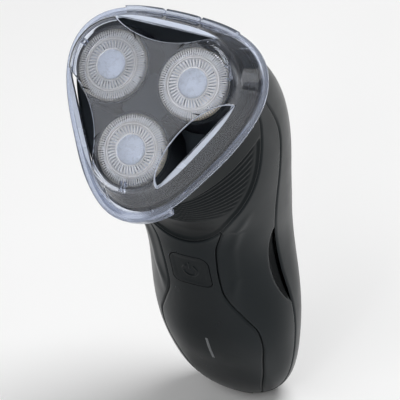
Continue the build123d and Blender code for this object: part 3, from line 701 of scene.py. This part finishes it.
sharpen(o, 38)
o.data.materials.append(M_BUTTON)
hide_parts("power_button")
drop(cut)

# ------------------------------------------------------------------ cap
TRI_V = 0.7
FL, RIM, PLT = (30.40, 3.45, 0.37), (26.15, 2.97, 0.14), (22.8, 2.75, 0.10)


def tri_r(t, tri):
    u = t - math.radians(30)
    return tri[0] + tri[1] * np.cos(3 * u) + tri[2] * np.cos(6 * u)


def polar(t, r, h, v0=TRI_V):
    return np.stack([r * np.cos(t), v0 + r * np.sin(t), np.broadcast_to(h, r.shape)], -1)


CAPM, nt, b, co = mat_new("clear_cap")
b.inputs["Transmission Weight"].default_value = 0.985
b.inputs["IOR"].default_value = 1.46
nt.links.new(ramp(nt, noise(nt, co, 30.0, 3), [(0.3, (0.76, 0.81, 0.92, 1)), (0.7, (0.81, 0.85, 0.94, 1))]), b.inputs["Base Color"])
nt.links.new(ramp(nt, noise(nt, co, 90.0, 4), [(0.3, grey(0.03)), (0.8, grey(0.07))]), b.inputs["Roughness"])

# the moulded flange is a little frosted, so it catches the light; the lip and the vent edges get a pale, mostly opaque
# colour that paints in their bright edge highlight
CAPE, nt, b, co = mat_new("clear_cap_edge")
b.inputs["Transmission Weight"].default_value = 0.80
b.inputs["IOR"].default_value = 1.46
nt.links.new(ramp(nt, noise(nt, co, 45.0, 4), [(0.3, (0.60, 0.67, 0.84, 1)), (0.7, (0.70, 0.76, 0.90, 1))]), b.inputs["Base Color"])
nt.links.new(ramp(nt, noise(nt, co, 160.0, 4), [(0.3, grey(0.16)), (0.8, grey(0.28))]), b.inputs["Roughness"])

CAPL_HIGHLIGHT, nt, b, co = mat_new("clear_cap_lip")
b.inputs["Transmission Weight"].default_value = 0.22
b.inputs["IOR"].default_value = 1.46
nt.links.new(ramp(nt, noise(nt, co, 45.0, 4), [(0.3, (0.62, 0.68, 0.82, 1)), (0.7, (0.72, 0.78, 0.90, 1))]), b.inputs["Base Color"])
nt.links.new(ramp(nt, noise(nt, co, 160.0, 4), [(0.3, grey(0.20)), (0.8, grey(0.32))]), b.inputs["Roughness"])

NT = 720
T = np.linspace(0, 2 * np.pi, NT, endpoint=False)
near = lambda deg, w: np.exp(-((((np.degrees(T) - deg + 180) % 360) - 180) / w) ** 2)
rF = tri_r(T, (30.75, 3.38, 0.33)) - 0.55 * near(315, 22) + 0.35 * near(180, 50) + 0.7 * near(262, 16) - 0.5 * near(90, 40)
uF, vF = rF * np.cos(T), TRI_V + rF * np.sin(T)
st = lambda x, w: sm(x / w + 0.5)
# grip ridge above, skirt below the lower corner
rid = np.zeros(NT)
for x0, x1 in ((-18.4, -6.3), (-5.4, 5.4), (6.3, 18.4)):
    rid = np.maximum(rid, st(uF - x0, 0.5) * st(x1 - uF, 0.5) * (vF > 10))
skirt = sm((np.degrees(T) - 207.0) / 34.0) * np.where(uF < 0, 1.0, st(12.0 - uF, 0.4)) * (vF < 0)
tab = 0.9 * skirt                            # the skirt flares out as a finger tab
# corner measure: 1 at the three corners, 0 in the middle of the sides
cm = 0.5 + 0.5 * np.cos(3 * (T - math.radians(30)))
side = sm((0.62 - cm) / 0.35)
wall = 0.95 + 0.75 * side                    # the wall's lip is thicker along the vents
# thin creases on the wall beside each corner
cr = np.zeros(NT)
for c0 in (30, 150, 270):
    for dlt in (-13.0, 13.0):
        dd_ = (np.degrees(T) - c0 - dlt + 180) % 360 - 180
        cr = np.maximum(cr, np.clip(1 - np.abs(dd_) / 0.55, 0, 1))
cr = 0.16 * cr
R_, H_ = [], []


def row(r, h):
    R_.append(np.broadcast_to(r, (NT,)) + 0.0); H_.append(np.broadcast_to(h, (NT,)) + 0.0)


def mixr(a, b, w):
    return tri_r(T, a) * (1 - w) + tri_r(T, b) * w


hb = -11.5 - 3.5 * skirt                     # lower edge
# outer side from the top middle outwards and down
for f in (0.04, 0.2, 0.4, 0.6, 0.75, 0.87):
    row(tri_r(T, PLT) * f, 3.0)
row(tri_r(T, PLT) - 1.6, 2.99)
row(tri_r(T, PLT) - 0.6, 2.90)
row(tri_r(T, PLT) + 0.35, 2.62)
row(tri_r(T, PLT) + 1.2, 2.12)
row(tri_r(T, RIM) - 1.35, 1.45)
row(tri_r(T, RIM) - 0.80, 0.55)
row(tri_r(T, RIM) - 0.40, -0.45)
row(tri_r(T, RIM) - 0.16, -1.35)
row(tri_r(T, RIM) + cr, -2.2)
fo = tri_r(T, FL) - 1.1
for w in (0.15, 0.3, 0.45, 0.6, 0.75, 0.88):
    row(tri_r(T, RIM) * (1 - w) + fo * w + cr, -2.2 + (-10.1 + 2.2) * w)
row(fo + cr + 0.05, -9.95)
ft = -10.25 + 0.85 * rid                     # top of the flange
row(fo + 0.28 + 0.15 * rid, ft)
row(rF - 0.22 + 0.45 * rid + tab, ft)
row(rF - 0.02 + 0.45 * rid + tab, ft - 0.22)
row(rF + 0.45 * rid + tab, -11.2)
row(rF + 0.45 * rid + tab * (1 - 0) - 0.05, -11.32)
row(rF - 0.12 + tab, -11.46 - 1.6 * skirt)
row(rF - 0.20 + tab, hb)
row(rF - 1.25 + tab, hb)
row(rF - 1.35 + tab, -11.5 - 0.4 * skirt)
row(rF - 1.1 - wall + 0.15, -11.5)
fi = rF - 1.1 - 0.95
row(fi, -11.2)
for w in (0.1, 0.3, 0.5, 0.7, 0.85):
    wl = 0.95 * (1 - w) + wall * w
    row((rF - 1.1) * (1 - w) + tri_r(T, RIM) * w - wl, -11.2 + (-2.2 + 11.2) * w)
row(tri_r(T, RIM) - wall, -2.2)
row(tri_r(T, RIM) - wall - 0.12, -1.35)
row(tri_r(T, RIM) - wall - 0.45, -0.45)
row(tri_r(T, RIM) - 0.80 - 0.95, 0.35)
row(tri_r(T, RIM) - 1.35 - 0.90, 1.05)
row(tri_r(T, PLT) + 0.3, 1.62)
row(tri_r(T, PLT) - 0.7, 1.92)
row(tri_r(T, PLT) - 1.8, 2.02)
for f in (0.87, 0.75, 0.6, 0.4, 0.2, 0.04):
    row(tri_r(T, PLT) * f, 2.05)
Rg, Hg = np.array(R_), np.array(H_)
mcap = len(Rg)
PC = head(polar(T[None], Rg, Hg))
V = PC.reshape(-1, 3)
F_ = grid_faces(mcap, NT, True)
V = np.vstack([V, head(np.array([[0, TRI_V, 3.0], [0, TRI_V, 2.05]]))])
c0, c1 = len(V) - 2, len(V) - 1
F_ += [(c0, (j + 1) % NT, j) for j in range(NT)]
F_ += [(c1, (mcap - 1) * NT + j, (mcap - 1) * NT + (j + 1) % NT) for j in range(NT)]
o = mesh_obj("clear_cap", V, F_, "cap")
fix_normals(o)


def circle(r, n, cx=0.0, cy=0.0):
    return [(cx + r * math.cos(2 * math.pi * i / n), cy + r * math.sin(2 * math.pi * i / n)) for i in range(n)]


for t0 in (90, 210, 330):
    a_ = math.radians(t0)
    pts = []
    # only the part of the vent circle that faces the cap's middle, closed outside the wall
    for q in np.linspace(-58, 58, 161):
        qa = a_ + math.pi + math.radians(q)
        pts.append((46.4 * math.cos(a_) + 30.0 * math.cos(qa), TRI_V + 46.4 * math.sin(a_) + 30.0 * math.sin(qa)))
    to3 = lambda p, q, d: head(np.array([p, q, d]))
    cv = prism("vent", pts, to3, -1.6, 14.0)
    modifier(o, "BOOLEAN", "vent", operation="DIFFERENCE", object=cv, solver="EXACT")
    apply_mods(o)
    drop(cv)
# round the vent edges only, and mark the lip and the flange
bm = bmesh.new(); bm.from_mesh(o.data)
co3 = np.array([v.co[:] for v in bm.verts]) / MM - HO
cu, cv_, ch = co3 @ HU, co3 @ HV, co3 @ HN
axd = np.min([np.hypot(cu - 46.4 * math.cos(math.radians(t)), cv_ - TRI_V - 46.4 * math.sin(math.radians(t))) for t in (90, 210, 330)], axis=0)
onc = (np.abs(axd - 30.0) < 0.02) | (np.abs(ch + 1.6) < 0.003)
lay = bm.edges.layers.float.get("bevel_weight_edge") or bm.edges.layers.float.new("bevel_weight_edge")
for e in bm.edges:
    i, j = e.verts[0].index, e.verts[1].index
    if onc[i] and onc[j] and len(e.link_faces) == 2 and e.calc_face_angle(0.0) > math.radians(40):
        e[lay] = 1.0
bm.to_mesh(o.data); bm.free()
modifier(o, "BEVEL", "edge", width=0.25 * MM, segments=3, limit_method="WEIGHT", use_clamp_overlap=False)
apply_mods(o)
sharpen(o, 50)
o.data.materials.append(CAPM)
o.data.materials.append(CAPE)
o.data.materials.append(CAPL_HIGHLIGHT)
hn = Vector(HN.tolist())
# faces below the flange top get the frosted material; lip and vent edge faces get the pale material that paints in
# their edge highlight
for f in o.data.polygons:
    c_ = np.array(f.center[:]) / MM - HO
    h_ = float(c_ @ HN)
    v_ = float(c_ @ HV); u_ = float(c_ @ HU)
    if h_ < -9.9:
        f.material_index = 1
    elif -2.0 < h_ < -1.45 and f.normal.dot(hn) > 0.3:
        f.material_index = 2
    elif -1.45 < h_ < 2.95 and abs(f.normal.dot(hn)) < 0.75 and min(abs(math.hypot(u_ - 46.4 * math.cos(math.radians(t)), v_ - TRI_V - 46.4 * math.sin(math.radians(t))) - 30.0) for t in (90, 210, 330)) < 0.12:
        f.material_index = 2
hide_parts("protective_cap")
cap_obj = o


def u_rib(name, cx, cy, ang, w, l, h0, h1, t=0.42):
    """Small U-shaped moulded rib on the cap, open towards the middle."""
    ca, sa = math.cos(ang), math.sin(ang)
    out = [(-w / 2, 0), (-w / 2, l), (w / 2, l), (w / 2, 0), (w / 2 - t, 0), (w / 2 - t, l - t), (-w / 2 + t, l - t), (-w / 2 + t, 0)]
    pts = [(cx + x * -sa + y * ca, cy + x * ca + y * sa) for x, y in out]
    q = prism(name, pts, lambda p, q, d: head(np.array([p, q, d])), h0, h1)
    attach(q, "cap")
    q.data.materials.append(CAPM)
    modifier(q, "BEVEL", "e", width=0.09 * MM, segments=2, limit_method="ANGLE", angle_limit=math.radians(40))
    apply_mods(q)
    sharpen(q, 50)
    return q


for nm, t0, r0, w, l, h0, h1 in (("cap_rib_c", -87.0, 25.6, 1.7, 3.1, 1.3, 2.9), ("cap_rib_b", 27.0, 26.0, 4.4, 1.5, 1.2, 2.6), ("cap_rib_a", 153.0, 23.9, 1.7, 1.9, 2.3, 3.3)):
    a_ = math.radians(t0)
    u_rib(nm, r0 * math.cos(a_), TRI_V + r0 * math.sin(a_), a_, w, l, h0, h1)

# ------------------------------------------------------------------ guards
M_STEEL, nt, b, co = mat_new("guard_steel")
b.inputs["Metallic"].default_value = 0.85
nt.links.new(ramp(nt, noise(nt, co, 260.0, 4), [(0.3, (0.64, 0.585, 0.50, 1)), (0.7, (0.78, 0.72, 0.63, 1))]), b.inputs["Base Color"])
nt.links.new(ramp(nt, noise(nt, co, 900.0, 4), [(0.3, grey(0.30)), (0.75, grey(0.44))]), b.inputs["Roughness"])
bump(nt, b, noise(nt, co, 3000.0, 2), 0.15, 0.00001)

# satin dome whose near-white, almost non-metal colour paints in the bright reflection of the silver cap
M_DOME_REFLECTION, nt, b, co = mat_new("guard_cap_satin")
b.inputs["Metallic"].default_value = 0.08
nt.links.new(ramp(nt, noise(nt, co, 200.0, 4), [(0.3, (0.93, 0.94, 0.94, 1)), (0.7, (0.97, 0.98, 0.98, 1))]), b.inputs["Base Color"])
nt.links.new(ramp(nt, noise(nt, co, 700.0, 5), [(0.3, grey(0.24)), (0.75, grey(0.34))]), b.inputs["Roughness"])
bump(nt, b, noise(nt, co, 2500.0, 2), 0.08, 0.00001)


def guard_part(k, cols, rows, keep, twist):
    """Slotted shell of a guard in its own frame: rows of (r, z), cols angles."""
    m, n = len(rows), len(cols)
    rr = np.array([r for r, z in rows])[:, None]; zz = np.array([z for r, z in rows])[:, None]
    aa = cols[None] + twist(rr)
    P = np.stack([rr * np.cos(aa), rr * np.sin(aa), zz + 0 * aa], -1)
    f = [q for q, ok in zip(grid_faces(m, n, True), keep.ravel()) if ok]
    return guard_pt(k, P).reshape(-1, 3), f


def closed_shell(name, V, F, body, t, up, bevel=0.0):
    o = mesh_obj(name, V, F, body)
    bm = bmesh.new(); bm.from_mesh(o.data)
    loose = [v for v in bm.verts if not v.link_faces]
    bmesh.ops.delete(bm, geom=loose, context="VERTS")
    bmesh.ops.recalc_face_normals(bm, faces=bm.faces)
    if sum(f.normal.dot(up) * f.calc_area() for f in bm.faces) < 0:
        bmesh.ops.reverse_faces(bm, faces=bm.faces)
    bm.to_mesh(o.data); bm.free()
    modifier(o, "SOLIDIFY", "t", thickness=t * MM, offset=-1.0)
    apply_mods(o)
    if bevel:
        modifier(o, "BEVEL", "e", width=bevel * MM, segments=1, limit_method="ANGLE", angle_limit=math.radians(60))
        apply_mods(o)
    o.data.polygons.foreach_set("use_smooth", [False] * len(o.data.polygons))
    return o


OUT_N, IN_N = 86, 42
for k in range(3):
    gk = "guard_%d" % (k + 1)
    up = Vector((guard_pt(k, [0, 0, 1.0]) - guard_pt(k, [0, 0, 0.0])).tolist())
    # outer track, rim and wall
    prof = [(7.60, -0.30), (7.98, -0.30), (8.10, -0.06), (8.28, 0.0), (8.62, 0.0), (9.2, 0.0), (9.8, -0.01), (10.18, -0.06), (10.46, -0.20), (10.65, -0.42), (10.74, -0.72), (10.75, -1.05), (10.75, -1.35), (10.75, -1.7), (10.75, -3.25)]
    fr = np.array([0.0, 0.26, 0.50, 0.76])                # bar, bar, slot, slot
    base = np.arange(OUT_N)[:, None] * 2 * np.pi / OUT_N + fr[None] * 2 * np.pi / OUT_N
    cols = base.ravel()
    keep = np.ones((len(prof) - 1, len(cols)), bool)
    slot_c = np.tile(np.array([False, False, True, True]), OUT_N)
    keep[3:12, slot_c] = False
    V1, F1 = guard_part(k, cols, prof, keep, lambda r: 0 * r)
    # inner track with slanted slots
    prof2 = [(4.28, -0.10), (4.62, -0.02), (4.90, 0.0), (5.5, 0.0), (6.2, 0.0), (6.9, 0.0), (7.22, 0.0), (7.45, -0.05), (7.60, -0.30)]
    cols2 = (np.arange(IN_N)[:, None] * 2 * np.pi / IN_N + np.array([0.0, 0.28, 0.54, 0.78])[None] * 2 * np.pi / IN_N).ravel()
    keep2 = np.ones((len(prof2) - 1, len(cols2)), bool)
    slot2 = np.tile(np.array([False, False, True, True]), IN_N)
    keep2[2:6, slot2] = False
    V2, F2 = guard_part(k, cols2, prof2, keep2, lambda r: 0.085 * (r - 4.6) / 2.9)
    o1 = closed_shell("guard_outer_%d" % (k + 1), V1, F1, gk, 0.30, up)
    o2 = closed_shell("guard_inner_%d" % (k + 1), V2, F2, gk, 0.30, up)
    for o in (o1, o2):
        o.data.materials.append(M_STEEL)
    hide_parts("shaving_guard_%d" % (k + 1))
    # dome: rounded edge, shallow crown
    pr = [(4.42, -0.25), (4.45, -0.02), (4.42, 0.16), (4.32, 0.32), (4.15, 0.44)]
    for x in np.linspace(4.0, 0.0, 22)[:-1]:
        pr.append((x, 0.50 + 0.50 * (1 - (x / 4.0) ** 2)))
    ca = np.linspace(0, 2 * np.pi, 96, endpoint=False)
    P = np.array([[(r * math.cos(a), r * math.sin(a), z) for a in ca] for r, z in pr])
    V = np.vstack([guard_pt(k, P).reshape(-1, 3), guard_pt(k, [[0, 0, 1.0]]), guard_pt(k, [[0, 0, -0.25]])])
    n_ = len(pr) * 96
    F = grid_faces(len(pr), 96, True) + [(n_, n_ - 96 + (j + 1) % 96, n_ - 96 + j) for j in range(96)] + [(n_ + 1, j, (j + 1) % 96) for j in range(96)]
    o = mesh_obj("guard_dome_%d" % (k + 1), V, F, gk)
    fix_normals(o)
    o.data.materials.append(M_DOME_REFLECTION)
    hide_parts("guard_cap_%d" % (k + 1))

# ------------------------------------------------------------------ materials of the CAD nodes that stay


def metal(name, c0, c1, r0, r1, scale=400.0, aniso=None):
    m, nt, b, co = mat_new(name)
    b.inputs["Metallic"].default_value = 1.0
    nt.links.new(ramp(nt, noise(nt, co, scale, 4), [(0.3, c0), (0.7, c1)]), b.inputs["Base Color"])
    nt.links.new(ramp(nt, noise(nt, co, scale * 2.2, 5), [(0.3, grey(r0)), (0.75, grey(r1))]), b.inputs["Roughness"])
    bump(nt, b, noise(nt, co, scale * 5, 2), 0.12, 0.00001)
    return m


M_ST = metal("steel", (0.50, 0.50, 0.50, 1), (0.62, 0.62, 0.61, 1), 0.25, 0.38)
M_BR = metal("brass", (0.62, 0.44, 0.17, 1), (0.74, 0.55, 0.25, 1), 0.26, 0.40)
M_NY = plastic("white_nylon", (0.66, 0.65, 0.60, 1), (0.76, 0.75, 0.70, 1), 0.42, 0.55)
M_IG = plastic("inner_grey", (0.12, 0.125, 0.13, 1), (0.17, 0.175, 0.18, 1), 0.45, 0.6)
M_CELL = plastic("cell_wrap", (0.02, 0.14, 0.07, 1), (0.03, 0.20, 0.10, 1), 0.22, 0.34, grain_s=0.05)
M_COMP = plastic("component_black", (0.012, 0.012, 0.013, 1), (0.022, 0.022, 0.023, 1), 0.4, 0.55)
M_RUB = plastic("seal_rubber", (0.016, 0.016, 0.017, 1), (0.026, 0.026, 0.027, 1), 0.6, 0.75)
M_RED = plastic("lead_red", (0.45, 0.02, 0.015, 1), (0.60, 0.035, 0.025, 1), 0.35, 0.5)
# board: green mask with copper traces showing as a lighter grid
M_PCB, nt, b, co = mat_new("board_green")
vo = nt.nodes.new("ShaderNodeTexVoronoi"); vo.distance = "MANHATTAN"; vo.feature = "F1"
vo.inputs["Scale"].default_value = 420.0
nt.links.new(co, vo.inputs["Vector"])
nt.links.new(ramp(nt, vo.outputs["Distance"], [(0.25, (0.006, 0.07, 0.03, 1)), (0.45, (0.012, 0.11, 0.05, 1)), (0.6, (0.03, 0.17, 0.08, 1))]), b.inputs["Base Color"])
nt.links.new(ramp(nt, noise(nt, co, 300.0, 4), [(0.3, grey(0.3)), (0.7, grey(0.42))]), b.inputs["Roughness"])
bump(nt, b, vo.outputs["Distance"], 0.2, 0.00005)

LOOK = {"indicator_lens": M_LENS, "charge_socket": M_CHAMBER, "charge_pins": M_ST, "gearbox_deck": M_NY, "gearbox_base": M_NY,
        "motor_pinion": M_BR, "motor_shaft": M_ST, "motor_can": M_ST, "motor_bush": M_BR, "motor_end_cap": M_COMP, "motor_tabs": M_BR,
        "gearbox_screws": M_ST, "battery_cells": M_CELL, "cell_links": M_ST, "battery_cradle": M_IG, "circuit_board": M_PCB,
        "tact_switch": M_COMP, "indicator_led": M_LENS, "charge_controller": M_COMP, "button_seal": M_RUB, "light_guide": M_LENS,
        "case_screws": M_ST, "lower_chassis": M_IG, "motor_leads": M_RED, "hair_chamber": M_CHAMBER, "head_frame": M_HEAD,
        "retaining_frame": M_IG, "lock_knob": M_COMP, "float_springs": M_ST}
for k in (1, 2, 3):
    LOOK["drive_gear_%d" % k] = M_NY
    LOOK["drive_spindle_%d" % k] = M_IG
    LOOK["cutter_%d" % k] = M_ST
for nm, m_ in LOOK.items():
    ob = nodes[nm]
    for o in [ob] + list(ob.children_recursive):
        if o.type != "MESH":
            continue
        if len(o.material_slots) == 0:
            o.data.materials.append(m_)
        for sl in o.material_slots:
            sl.material = m_

# ------------------------------------------------------------------ floor, light, camera
me = bpy.data.meshes.new("floor")
me.from_pydata([(-3, -3, 0), (3, -3, 0), (3, 3, 0), (-3, 3, 0)], [], [(0, 1, 2, 3)])
fl = bpy.data.objects.new("floor", me)
bpy.context.scene.collection.objects.link(fl)
fm, nt, b, co = mat_new("floor_pale")
nt.links.new(ramp(nt, noise(nt, co, 8.0, 3), [(0.3, (0.93, 0.93, 0.93, 1)), (0.7, (0.95, 0.95, 0.95, 1))]), b.inputs["Base Color"])
b.inputs["Roughness"].default_value = 0.6
me.materials.append(fm)

world = bpy.data.worlds.new("studio")
bpy.context.scene.world = world
world.use_nodes = True
bg = world.node_tree.nodes["Background"]
bg.inputs["Color"].default_value = (1, 1, 1, 1)
bg.inputs["Strength"].default_value = 0.18


def area(name, loc, target, size, power, sy=None):
    ld = bpy.data.lights.new(name, "AREA")
    ld.energy = power
    ld.size = size
    if sy:
        ld.shape = "RECTANGLE"; ld.size_y = sy
    lo = bpy.data.objects.new(name, ld)
    lo.location = loc
    lo.rotation_mode = "QUATERNION"
    lo.rotation_quaternion = (Vector(target) - Vector(loc)).to_track_quat("-Z", "Y")
    bpy.context.scene.collection.objects.link(lo)
    return lo


area("soft_top", (-0.34, -0.56, 0.74), (0, -0.045, 0.13), 0.42, 0.46)
key = area("key", (0.30, 0.25, 1.15), (0, 0.0, 0.0), 0.60, 10.4)
key.visible_glossy = False
area("left", (-0.80, -0.05, 0.32), (0, -0.03, 0.08), 0.25, 0.6, 0.7)
area("right_back", (0.62, 0.45, 0.35), (0, -0.02, 0.09), 0.25, 0.75, 0.7)
area("front_low", (0.05, -0.81, 0.63), (0, -0.045, 0.14), 0.09, 0.48)
fill = area("head_fill", (-0.12, -0.95, 0.95), (0, -0.045, 0.14), 0.95, 4.0)
fill.visible_glossy = False

cam = bpy.data.cameras.new("camera")
cam.sensor_width = 36.0
cam.sensor_fit = "HORIZONTAL"
cam.lens = 372.1013
cam.clip_start, cam.clip_end = 0.1, 20.0
co_ = bpy.data.objects.new("camera", cam)
R = Matrix(((0.8954358549827717, 0.4401973845898316, -0.06648979028049863),
            (-0.22083454107726627, 0.5688759317666101, 0.7922198430510716),
            (0.38655754433003375, -0.694698810173836, 0.6066026937498638))).transposed()
M = R.to_4x4()
M.translation = Vector((0.4841058892750335, -0.8920315554646621, 0.8481761364087048))
co_.matrix_world = M
bpy.context.scene.collection.objects.link(co_)
bpy.context.scene.camera = co_
bpy.context.scene.view_settings.view_transform = "Standard"
